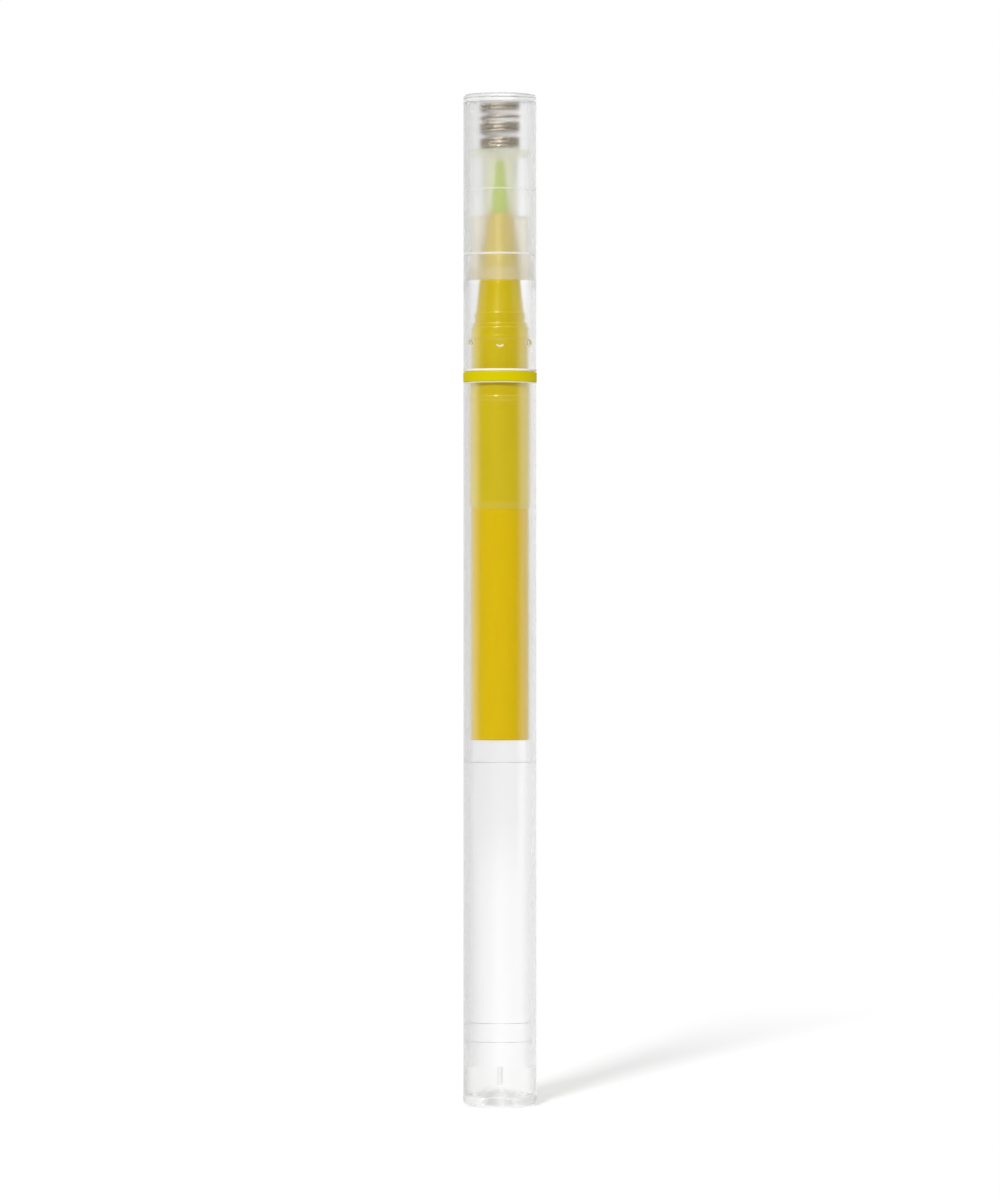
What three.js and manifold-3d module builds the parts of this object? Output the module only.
// An eyeliner pen standing on its tail with its cap on: a clear barrel with an ink reservoir inside,
// a coloured front section that carries the felt nib, and a clear push-on cap with a sprung inner cap.
// Millimetres, +Z up, origin in the middle of the foot. Every piece but the spring is turned about Z.
import * as THREE from 'three';
import { mergeVertices } from 'three/addons/utils/BufferGeometryUtils.js';
import Module from 'manifold-3d';

// Fineness of the solids
const SIDES = 32;
const CURVE_STEPS = 4;
const SPRING_STEPS = 8;
const WIRE_SIDES = 5;
const BUMP_SIDES = 10;

// Gaps
const seam = 0.05; // between faces that meet end to end
const pressFit = 0.05; // radial, where one piece is pushed into another
const slideFit = 0.1; // radial, where the inner cap slides in the cap
const capFit = 0.3; // radial, between the front section's shoulder and the cap's bore
const clickFit = 0.05; // radial, between the click bead and the bumps that pass over it
const softGap = 0.3; // at the ends of the fibre pieces

// Barrel
const barrelLength = 96.9;
const barrelBore = 8.3; // diameter round the reservoir
const barrelWall = 0.85;
const ledgeWidth = 0.15; // the bore narrows by this below the reservoir
const socketWall = 0.4; // what is left of the wall round the tail plug's head
const socketDepth = 3.85;
const rimChamfer = 0.12;

// Snap beads that hold the front section and the tail plug in the barrel
const beadHeight = 0.17;
const beadWidth = 0.8;
const grooveWidth = 1.0;

// Tail plug
const footThickness = 1.4;
const footFillet = 0.9;
const plugHeight = 12.0;
const plugWall = 0.7;
const plugBeads = [8.55, 11.1]; // heights above the foot's face
const domeMargin = 0.85; // from the cup's wall to the edge of the hollow under the foot
const domeRise = 1.5; // depth of that hollow
const floorThickness = 1.4;
const pinRadius = 0.33;
const pinTop = 5.0;

// Ink reservoir and its film
const reservoirLength = 31.0;
const filmThickness = 0.14;
const filmOverhang = 2.95; // how far the film reaches past the fibre, down to the ledge
const wickInsert = 8.2; // how deep the wick stands in the fibre

// Nib and wick
const nibRadius = 1.15;
const nibLength = 25.6;
const nibExposed = 7.3;
const nibShank = 0.4; // straight length outside the nose before the taper
const nibTipRadius = 0.6;
const nibTipLength = 0.8;
const wickRadius = 1.15;
const wickGrip = 3.7; // length of wick held in the front section

// Front section
const sleeveLength = 17.35; // below the flange, inside the barrel
const sleeveWall = 0.8;
const sleeveBead = 2.25; // depth of the bead below the flange
const flangeThickness = 1.3;
const shoulderHeight = 6.1;
const shoulderRoof = 0.8; // wall left over the hollow of the shoulder
const clickBeadHeight = 4.75; // above the flange
const clickBeadWidth = 0.7;
const steps = [
  { rise: 0.6, setIn: 0.15 },
  { rise: 1.4, setIn: 0.3 },
]; // above the shoulder, from below
const coneSetIn = 0.15;
const coneLength = 13.5;
const noseWall = 0.4;
const noseFillet = 0.15;
const bossWall = 0.7; // tube inside the section that holds the nib and the wick

// Cap
const capWall = 0.85;
const capRoof = 1.0;
const capFillet = 0.5;
const capMouthGap = 0.1;
const bumpCount = 6;
const bumpHeight = 3.8; // above the cap's mouth
const bumpRadius = 0.42;
const bumpReach = 0.2; // how far a bump stands out of the bore
const undercutDepth = 0.2; // ring in the bore that the inner cap's skirt snaps into
const undercutStep = 0.05; // the bore above the undercut is narrower by this
const crownDepth = 12.0; // below the ceiling, where the bore narrows again
const crownStep = 0.1;

// Inner cap
const innerCapTravel = 1.0;
const sealHeight = 4.4; // above the cone's foot, where the inner cap seats
const sealGap = 0.06;
const lipHeight = 0.8;
const lipWall = 0.4;
const cavityRelief = 0.2;
const innerWall = 0.6;
const skirtHeight = 2.4;
const skirtWall = 0.5;
const webThickness = 0.8;
const ribHeight = 8.4; // above the skirt's lower edge
const ribThickness = 0.4;
const ribSetIn = 0.3; // from the bore
const nibCavityRadius = 1.7;
const tipClearance = 0.4;
const plateThickness = 0.9;
const springBossHeight = 0.8;

// Spring
const springLength = 6.5;
const springDiameter = 5.4;
const springWire = 0.45;
const springTurns = 6;

// Radii that follow from those sizes
const boreRadius = barrelBore / 2;
const lowerBoreRadius = boreRadius - ledgeWidth;
const outerRadius = boreRadius + barrelWall;
const socketRadius = outerRadius - socketWall;
const sleeveRadius = boreRadius - pressFit;
const sleeveBore = sleeveRadius - sleeveWall;
const nibBore = nibRadius + pressFit;
const wickBore = wickRadius + pressFit;
const bossRadius = Math.max(nibBore, wickBore) + bossWall;
const noseRadius = nibBore + noseWall;
const capBore = outerRadius - capWall;
const middleBore = capBore - undercutStep;
const crownBore = middleBore - crownStep;
const undercutRadius = capBore + undercutDepth;
const shoulderRadius = capBore - capFit;
const coneRadius = steps.reduce((radius, step) => radius - step.setIn, shoulderRadius) - coneSetIn;
const skirtRadius = undercutRadius - slideFit;
const plateRadius = crownBore - slideFit;
const filmRadius = boreRadius - pressFit;
const fibreRadius = filmRadius - filmThickness - pressFit;
const springRadius = (springDiameter - springWire) / 2;
const springBossRadius = springRadius * Math.cos(Math.PI / SPRING_STEPS) - springWire / 2 - slideFit;

// Heights that follow from those sizes, each from the piece below it
const barrelBottom = footThickness + seam;
const barrelTop = barrelBottom + barrelLength;
const flangeBottom = barrelTop + seam;
const flangeTop = flangeBottom + flangeThickness;
const shoulderTop = flangeTop + shoulderHeight;
const coneBottom = steps.reduce((height, step) => height + step.rise, shoulderTop);
const noseTip = coneBottom + coneLength;
const sleeveBottom = flangeBottom - sleeveLength;
const sleeveBeadMiddle = flangeBottom - sleeveBead;
const nibTip = noseTip + nibExposed;
const nibTail = nibTip - nibLength;
const wickTop = nibTail - softGap;
const bossBottom = wickTop - wickGrip;
const reservoirTop = sleeveBottom - softGap;
const reservoirBottom = reservoirTop - reservoirLength;
const filmBottom = reservoirBottom - filmOverhang;
const wickBottom = reservoirTop - wickInsert;
const innerCapBottom = coneBottom + sealHeight;
const skirtTop = innerCapBottom + skirtHeight;
const cavityRoof = nibTip + tipClearance;
const innerCapTop = cavityRoof + plateThickness;
const springBottom = innerCapTop + seam;
const capCeiling = springBottom + springLength + seam;
const capMouth = flangeTop + capMouthGap;
const capTop = capCeiling + capRoof;

const wasm = await Module();
wasm.setup();

/** A solid turned about Z from an outline of (radius, height), drawn anticlockwise round the material. */
function turned(outline) {
  const geometry = new THREE.LatheGeometry(outline.getPoints(CURVE_STEPS), SIDES);
  return geometry.rotateX(Math.PI / 2);
}

/** An outline that starts at a radius and a height. */
function outlineFrom(radius, height) {
  return new THREE.Path().moveTo(radius, height);
}

/** Draws several straight stretches. */
function lines(outline, ...points) {
  points.forEach(([radius, height]) => outline.lineTo(radius, height));
  return outline;
}

/** Draws a wall up or down past a rounded swelling, which stands out if swell is positive. */
function swelling(outline, radius, middle, width, swell, upwards) {
  const half = upwards ? width / 2 : -width / 2;
  outline.lineTo(radius, middle - half);
  return outline.quadraticCurveTo(radius + 2 * swell, middle, radius, middle + half);
}

/** A closed geometry as a solid that can be joined to another. */
function solidOf(geometry) {
  const bare = geometry.clone();
  bare.deleteAttribute('normal');
  bare.deleteAttribute('uv');
  const merged = mergeVertices(bare);
  const mesh = new wasm.Mesh({
    numProp: 3,
    vertProperties: new Float32Array(merged.attributes.position.array),
    triVerts: new Uint32Array(merged.index.array),
  });
  return new wasm.Manifold(mesh);
}

/** A solid back as a geometry. */
function geometryOf(solid) {
  const { vertProperties, triVerts } = solid.getMesh();
  const geometry = new THREE.BufferGeometry();
  geometry.setAttribute('position', new THREE.BufferAttribute(vertProperties, 3));
  geometry.setIndex(new THREE.BufferAttribute(triVerts, 1));
  geometry.computeVertexNormals();
  return geometry;
}

/** Clear tube: reservoir bore above, narrower bore below its ledge, and a socket for the tail plug. */
function barrelGeometry() {
  const ledge = filmBottom - seam;
  const socketTop = barrelBottom + socketDepth;
  const outline = outlineFrom(socketRadius, barrelBottom);
  lines(outline, [outerRadius - rimChamfer, barrelBottom], [outerRadius, barrelBottom + rimChamfer]);
  lines(outline, [outerRadius, barrelTop - rimChamfer], [outerRadius - rimChamfer, barrelTop]);
  lines(outline, [boreRadius, barrelTop]);
  swelling(outline, boreRadius, sleeveBeadMiddle, grooveWidth, beadHeight, false);
  lines(outline, [boreRadius, ledge], [lowerBoreRadius, ledge]);
  plugBeads.toReversed().forEach((height) => {
    swelling(outline, lowerBoreRadius, height, grooveWidth, beadHeight, false);
  });
  lines(outline, [lowerBoreRadius, socketTop], [socketRadius, socketTop]);
  outline.closePath();
  return turned(outline);
}

/** Clear cup that closes the tail: foot, head in the socket, beaded spigot, domed floor, moulding pin. */
function tailPlugGeometry() {
  const spigotRadius = lowerBoreRadius - pressFit;
  const headRadius = socketRadius - pressFit;
  const headTop = barrelBottom + socketDepth - seam;
  const cupRadius = spigotRadius - plugWall;
  const hollowRadius = cupRadius - domeMargin;
  const domeTop = domeRise + floorThickness;
  const outline = outlineFrom(0, domeRise);
  outline.quadraticCurveTo(hollowRadius / 2, domeRise, hollowRadius, 0);
  outline.lineTo(outerRadius - footFillet, 0);
  outline.quadraticCurveTo(outerRadius, 0, outerRadius, footFillet);
  lines(outline, [outerRadius, footThickness], [headRadius, footThickness]);
  lines(outline, [headRadius, headTop], [spigotRadius, headTop]);
  plugBeads.forEach((height) => {
    swelling(outline, spigotRadius, height, beadWidth, beadHeight, true);
  });
  lines(outline, [spigotRadius, plugHeight], [cupRadius, plugHeight], [cupRadius, footThickness]);
  outline.quadraticCurveTo(cupRadius / 2, domeTop, pinRadius, domeTop);
  outline.lineTo(pinRadius, pinTop - pinRadius);
  outline.quadraticCurveTo(pinRadius, pinTop, 0, pinTop);
  return turned(outline);
}

/** Radius of the front section's cone at a height. */
function coneRadiusAt(height) {
  return THREE.MathUtils.mapLinear(height, coneBottom, noseTip, coneRadius, noseRadius);
}

/** Coloured moulding: sleeve in the barrel, flange that shows as a ring, shoulder, steps, cone and nose. */
function frontSectionGeometry() {
  const roof = shoulderTop - shoulderRoof;
  const clickHeight = capFit - bumpReach - clickFit;
  const outline = outlineFrom(sleeveBore, sleeveBottom);
  lines(outline, [sleeveRadius - rimChamfer, sleeveBottom], [sleeveRadius, sleeveBottom + rimChamfer]);
  swelling(outline, sleeveRadius, sleeveBeadMiddle, beadWidth, beadHeight, true);
  lines(outline, [sleeveRadius, flangeBottom], [outerRadius, flangeBottom], [outerRadius, flangeTop]);
  outline.lineTo(shoulderRadius, flangeTop);
  swelling(outline, shoulderRadius, flangeTop + clickBeadHeight, clickBeadWidth, clickHeight, true);
  let radius = shoulderRadius;
  let height = shoulderTop;
  steps.forEach((step) => {
    lines(outline, [radius, height], [radius - step.setIn, height]);
    radius -= step.setIn;
    height += step.rise;
  });
  lines(outline, [radius, coneBottom], [coneRadius, coneBottom]);
  outline.lineTo(coneRadiusAt(noseTip - noseFillet), noseTip - noseFillet);
  outline.quadraticCurveTo(noseRadius, noseTip, noseRadius - noseFillet, noseTip);
  lines(outline, [nibBore, noseTip], [nibBore, nibTail], [wickBore, wickTop], [wickBore, bossBottom]);
  lines(outline, [bossRadius, bossBottom], [bossRadius, roof], [sleeveBore, roof]);
  outline.closePath();
  return turned(outline);
}

/** Felt nib: a shank held in the nose, a straight taper outside it, and a rounded tip. */
function nibGeometry() {
  const outline = outlineFrom(0, nibTail);
  lines(outline, [nibRadius, nibTail], [nibRadius, noseTip + nibShank]);
  outline.lineTo(nibTipRadius, nibTip - nibTipLength);
  outline.quadraticCurveTo(nibTipRadius, nibTip, 0, nibTip);
  return turned(outline);
}

/** Fibre rod that leads ink from the reservoir to the nib's tail. */
function wickGeometry() {
  const outline = outlineFrom(0, wickBottom);
  lines(outline, [wickRadius, wickBottom], [wickRadius, wickTop], [0, wickTop]);
  return turned(outline);
}

/** Ink-soaked fibre with a blind hole for the wick. */
function fibreGeometry() {
  const holeBottom = wickBottom - softGap;
  const outline = outlineFrom(0, reservoirBottom);
  lines(outline, [fibreRadius, reservoirBottom], [fibreRadius, reservoirTop]);
  lines(outline, [wickBore, reservoirTop], [wickBore, holeBottom], [0, holeBottom]);
  return turned(outline);
}

/** Clear film round the fibre, which stands on the barrel's ledge. */
function filmGeometry() {
  const inside = filmRadius - filmThickness;
  const outline = outlineFrom(inside, filmBottom);
  lines(outline, [filmRadius, filmBottom], [filmRadius, reservoirTop], [inside, reservoirTop]);
  outline.closePath();
  return turned(outline);
}

/** Clear cap: a cup open below, with an undercut that keeps the inner cap in and bumps that click. */
function capGeometry() {
  const undercutBottom = innerCapBottom - slideFit;
  const undercutTop = skirtTop + innerCapTravel + seam;
  const crown = capCeiling - crownDepth;
  const outline = outlineFrom(0, capCeiling);
  lines(outline, [crownBore, capCeiling], [crownBore, crown], [middleBore, crown]);
  lines(outline, [middleBore, undercutTop], [undercutRadius, undercutTop]);
  lines(outline, [undercutRadius, undercutBottom], [capBore, undercutBottom]);
  lines(outline, [capBore, capMouth + rimChamfer], [capBore + rimChamfer, capMouth]);
  lines(outline, [outerRadius - rimChamfer, capMouth], [outerRadius, capMouth + rimChamfer]);
  outline.lineTo(outerRadius, capTop - capFillet);
  outline.quadraticCurveTo(outerRadius, capTop, outerRadius - capFillet, capTop);
  outline.lineTo(0, capTop);
  let shell = solidOf(turned(outline));
  const bumpPlace = capBore - bumpReach + bumpRadius;
  for (let i = 0; i < bumpCount; i++) {
    const turn = (2 * Math.PI * i) / bumpCount - Math.PI / 2;
    const bump = new THREE.SphereGeometry(bumpRadius, BUMP_SIDES, BUMP_SIDES);
    bump.translate(bumpPlace * Math.cos(turn), bumpPlace * Math.sin(turn), capMouth + bumpHeight);
    shell = shell.add(solidOf(bump));
  }
  return geometryOf(shell);
}

/** Milky inner cap: lip that seals on the cone, snap skirt, rib, tube over the nib, plate for the spring. */
function innerCapGeometry() {
  const lipRadius = coneRadiusAt(innerCapBottom) + sealGap;
  const lipTop = innerCapBottom + lipHeight;
  const cavityRadius = lipRadius + cavityRelief;
  const neckRadius = noseRadius + cavityRelief;
  const neckHeight = noseTip + cavityRelief;
  const webBottom = skirtTop - webThickness;
  const skirtInside = skirtRadius - skirtWall;
  const ribRadius = middleBore - ribSetIn;
  const ribBottom = innerCapBottom + ribHeight - ribThickness / 2;
  const ribTop = ribBottom + ribThickness;
  const tubeFoot = cavityRadius + innerWall;
  const tubeTop = nibCavityRadius + innerWall;
  const tubeRadiusAt = (height) => {
    const share = Math.min(1, (height - skirtTop) / (neckHeight - skirtTop));
    return THREE.MathUtils.lerp(tubeFoot, tubeTop, share);
  };
  const outline = outlineFrom(0, cavityRoof);
  lines(outline, [nibCavityRadius, cavityRoof], [nibCavityRadius, neckHeight], [neckRadius, neckHeight]);
  lines(outline, [cavityRadius, lipTop], [lipRadius, lipTop], [lipRadius, innerCapBottom]);
  lines(outline, [lipRadius + lipWall, innerCapBottom], [lipRadius + lipWall, webBottom]);
  lines(outline, [skirtInside, webBottom], [skirtInside, innerCapBottom], [skirtRadius, innerCapBottom]);
  lines(outline, [skirtRadius, skirtTop], [tubeFoot, skirtTop]);
  lines(outline, [tubeRadiusAt(ribBottom), ribBottom], [ribRadius, ribBottom]);
  lines(outline, [ribRadius, ribTop], [tubeRadiusAt(ribTop), ribTop]);
  lines(outline, [tubeTop, neckHeight], [tubeTop, cavityRoof], [plateRadius, cavityRoof]);
  lines(outline, [plateRadius, innerCapTop], [springBossRadius, innerCapTop]);
  lines(outline, [springBossRadius, innerCapTop + springBossHeight], [0, innerCapTop + springBossHeight]);
  return turned(outline);
}

/** Middle of the spring's wire at a step of its helix. */
function springPoint(step) {
  const angle = (2 * Math.PI * step) / SPRING_STEPS;
  const rise = (springLength - springWire) / (springTurns * SPRING_STEPS);
  const height = springBottom + springWire / 2 + step * rise;
  return new THREE.Vector3(springRadius * Math.cos(angle), springRadius * Math.sin(angle), height);
}

/** Compression spring: one unbroken right-handed wire, closed at both ends. */
function springGeometry() {
  const last = springTurns * SPRING_STEPS;
  const positions = [];
  const index = [];
  for (let step = 0; step <= last; step++) {
    const centre = springPoint(step);
    const along = springPoint(step + 1).sub(springPoint(step - 1)).normalize();
    const outwards = new THREE.Vector3(centre.x, centre.y, 0).normalize();
    const across = new THREE.Vector3().crossVectors(along, outwards);
    for (let side = 0; side < WIRE_SIDES; side++) {
      const turn = (2 * Math.PI * side) / WIRE_SIDES;
      const point = centre.clone();
      point.addScaledVector(outwards, (springWire / 2) * Math.cos(turn));
      point.addScaledVector(across, (springWire / 2) * Math.sin(turn));
      positions.push(...point.toArray());
    }
  }
  for (let step = 0; step < last; step++) {
    for (let side = 0; side < WIRE_SIDES; side++) {
      const a = step * WIRE_SIDES + side;
      const b = step * WIRE_SIDES + ((side + 1) % WIRE_SIDES);
      index.push(a, b, b + WIRE_SIDES, a, b + WIRE_SIDES, a + WIRE_SIDES);
    }
  }
  const end = last * WIRE_SIDES;
  for (let side = 1; side < WIRE_SIDES - 1; side++) {
    index.push(0, side + 1, side, end, end + side, end + side + 1);
  }
  const geometry = new THREE.BufferGeometry();
  geometry.setAttribute('position', new THREE.Float32BufferAttribute(positions, 3));
  geometry.setIndex(index);
  geometry.computeVertexNormals();
  return geometry;
}

/** Least gap between one turn of the spring and another, measured on the points of its middle line. */
function springGap() {
  const last = springTurns * SPRING_STEPS;
  let least = Infinity;
  for (let a = 0; a <= last; a++) {
    for (let b = a + SPRING_STEPS / 2; b <= last; b++) {
      least = Math.min(least, springPoint(a).distanceTo(springPoint(b)));
    }
  }
  return least - springWire;
}

const clearPlastic = { color: 0xeef0ea, roughness: 0.12, metalness: 0, transparent: true, opacity: 0.35 };
const milkyPlastic = { color: 0xe6e8de, roughness: 0.45, metalness: 0, transparent: true, opacity: 0.6 };
const yellowPlastic = { color: 0xd9c804, roughness: 0.25, metalness: 0 };
const inkFibre = { color: 0xdcb400, roughness: 0.9, metalness: 0 };
const felt = { color: 0xb9d040, roughness: 0.95, metalness: 0 };
const steel = { color: 0x8c8377, roughness: 0.3, metalness: 1 };

/** Adds a named piece to a group, with the piece's own origin on the axis at the height of its seat. */
function addPiece(group, name, geometry, finish, seat) {
  const mesh = new THREE.Mesh(geometry.translate(0, 0, -seat), new THREE.MeshStandardMaterial(finish));
  mesh.name = name;
  mesh.position.z = seat - group.position.z;
  group.add(mesh);
}

// The part that is held in the hand
const body = new THREE.Group();
addPiece(body, 'tail_plug', tailPlugGeometry(), clearPlastic, 0);
addPiece(body, 'barrel', barrelGeometry(), clearPlastic, barrelBottom);
addPiece(body, 'reservoir_film', filmGeometry(), clearPlastic, filmBottom);
addPiece(body, 'reservoir_fibre', fibreGeometry(), inkFibre, reservoirBottom);
addPiece(body, 'feed_wick', wickGeometry(), inkFibre, wickBottom);
addPiece(body, 'front_section', frontSectionGeometry(), yellowPlastic, flangeBottom);
addPiece(body, 'nib', nibGeometry(), felt, noseTip);

// The cap and what it carries, which lift off together
const cap = new THREE.Group();
cap.position.z = capMouth;
addPiece(cap, 'cap_shell', capGeometry(), clearPlastic, capMouth);
addPiece(cap, 'inner_cap', innerCapGeometry(), milkyPlastic, innerCapBottom);
addPiece(cap, 'cap_spring', springGeometry(), steel, springBottom);

const pen = new THREE.Group();
pen.add(body, cap);

console.log('cap_spring: least gap to itself', springGap().toFixed(2), 'mm');
console.log('pen:', capTop.toFixed(2), 'mm tall,', (2 * outerRadius).toFixed(2), 'mm across');

export default pen;
